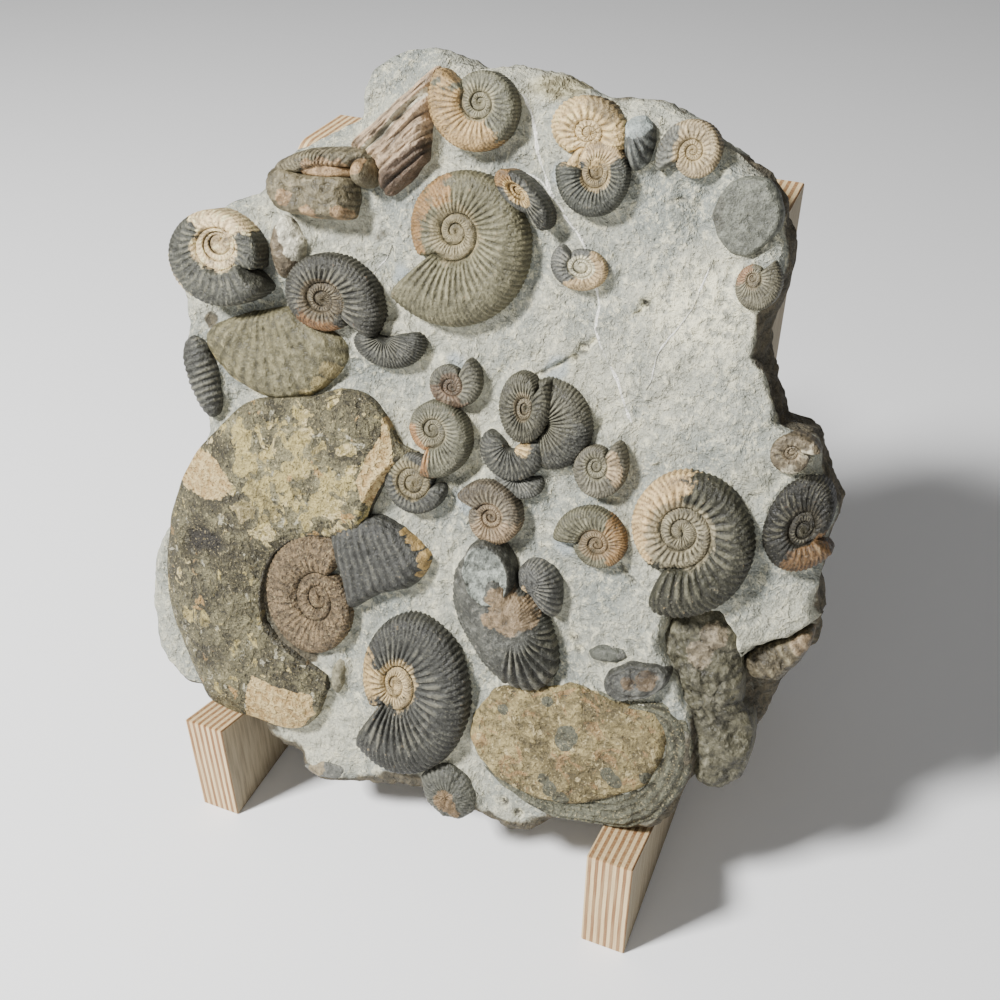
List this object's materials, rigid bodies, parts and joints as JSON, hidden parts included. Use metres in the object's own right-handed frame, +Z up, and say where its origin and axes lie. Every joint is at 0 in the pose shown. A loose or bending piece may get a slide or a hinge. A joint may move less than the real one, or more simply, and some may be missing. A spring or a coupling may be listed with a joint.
{
  "type": "ammonite cluster plate",
  "caption": "Broken limestone slab crowded with ammonites and shell pieces, leaning on a two-panel plywood display stand.",
  "frame": {"origin": "centre of the bounding box's footprint, on the surface that the stand's feet rest on", "axes": "X to the right across the slab's face, Y back into the stand, Z up"},
  "size_m": [0.278, 0.1704, 0.3092],
  "materials": {
    "limestone": "rough pale grey limestone",
    "olive_fossil": "olive-brown fossil shell, slightly waxy",
    "dark_fossil": "charcoal fossil shell with fine ribs",
    "tan_fossil": "tan fossil shell",
    "brown_fossil": "brown fossil shell",
    "grey_fossil": "grey fossil shell",
    "fossil_wood": "brown grained mineralised wood",
    "birch_plywood": "birch plywood, striped cut edges"
  },
  "bodies": {
    "root": {"arm_ammonite": "grey_fossil", "bluish_shell_fragment": "grey_fossil", "blunt_dark_ammonite": "dark_fossil", "bottom_edge_ammonite": "brown_fossil", "bottom_edge_shell": "grey_fossil", "brown_ledge": "brown_fossil", "brown_shell_fragment": "brown_fossil", "brown_shell_lump": "brown_fossil", "brown_topped_ammonite": "brown_fossil", "crescent_ammonite": "dark_fossil", "cross_rail": "birch_plywood", "dark_grey_ammonite": "grey_fossil", "dark_left_ammonite": "dark_fossil", "edge_on_ammonite": "dark_fossil", "fan_ammonite": "brown_fossil", "flat_brown_ammonite": "tan_fossil", "fossil_wood": "fossil_wood", "giant_ammonite": "olive_fossil", "golden_ammonite": "tan_fossil", "golden_spot_ammonite": "dark_fossil", "grey_flat_shell": "grey_fossil", "half_disc_ammonite": "grey_fossil", "inner_dark_ammonite": "dark_fossil", "large_dark_ammonite": "dark_fossil", "large_ribbed_ammonite": "olive_fossil", "large_tan_ammonite": "tan_fossil", "limestone_slab": "limestone", "lower_shell_mass": "brown_fossil", "olive_ammonite": "olive_fossil", "orange_ammonite": "brown_fossil", "pink_patched_ammonite": "grey_fossil", "plywood_panel_left": "birch_plywood", "plywood_panel_right": "birch_plywood", "ribbed_arc_ammonite": "olive_fossil", "right_coil_ammonite": "brown_fossil", "right_edge_ammonite": "dark_fossil", "small_dark_shell": "dark_fossil", "small_olive_shell": "olive_fossil", "small_tan_ammonite": "tan_fossil", "smooth_shell_fragment": "olive_fossil", "split_grey_ammonite": "grey_fossil", "standing_dark_ammonite": "dark_fossil", "strong_ribbed_ammonite": "dark_fossil", "thick_oblique_ammonite": "brown_fossil", "thin_crescent_ammonite": "grey_fossil", "tilted_left_ammonite": "dark_fossil", "tilted_small_ammonite": "tan_fossil", "top_ribbed_ammonite": "brown_fossil"}
  },
  "joints": []
}
